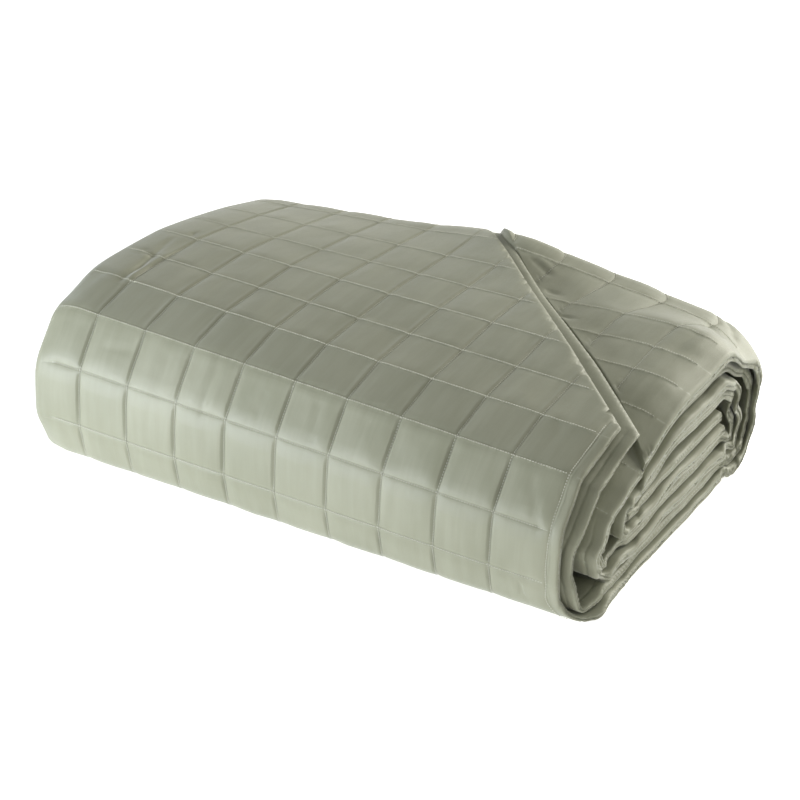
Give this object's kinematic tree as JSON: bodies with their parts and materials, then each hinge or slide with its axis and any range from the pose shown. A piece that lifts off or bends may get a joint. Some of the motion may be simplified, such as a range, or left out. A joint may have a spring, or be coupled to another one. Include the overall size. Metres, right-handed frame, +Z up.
{
  "type": "quilt",
  "caption": "Quilted bed cover doubled across its width, then folded over and over lengthwise into a flat soft bundle with a square stitched grid, plain hems and a turned-under corner.",
  "frame": {"origin": "middle of the bundle's footprint, on the surface that it rests on", "axes": "+X along the bundle towards its hemmed end, +Y towards its back, where the flap lies, +Z up"},
  "size_m": [0.6082, 0.4264, 0.1652],
  "materials": {
    "quilt_cloth": "sage green cotton sateen with a soft sheen, quilted in squares"
  },
  "bodies": {
    "root": {"quilt": "quilt_cloth"}
  },
  "joints": []
}
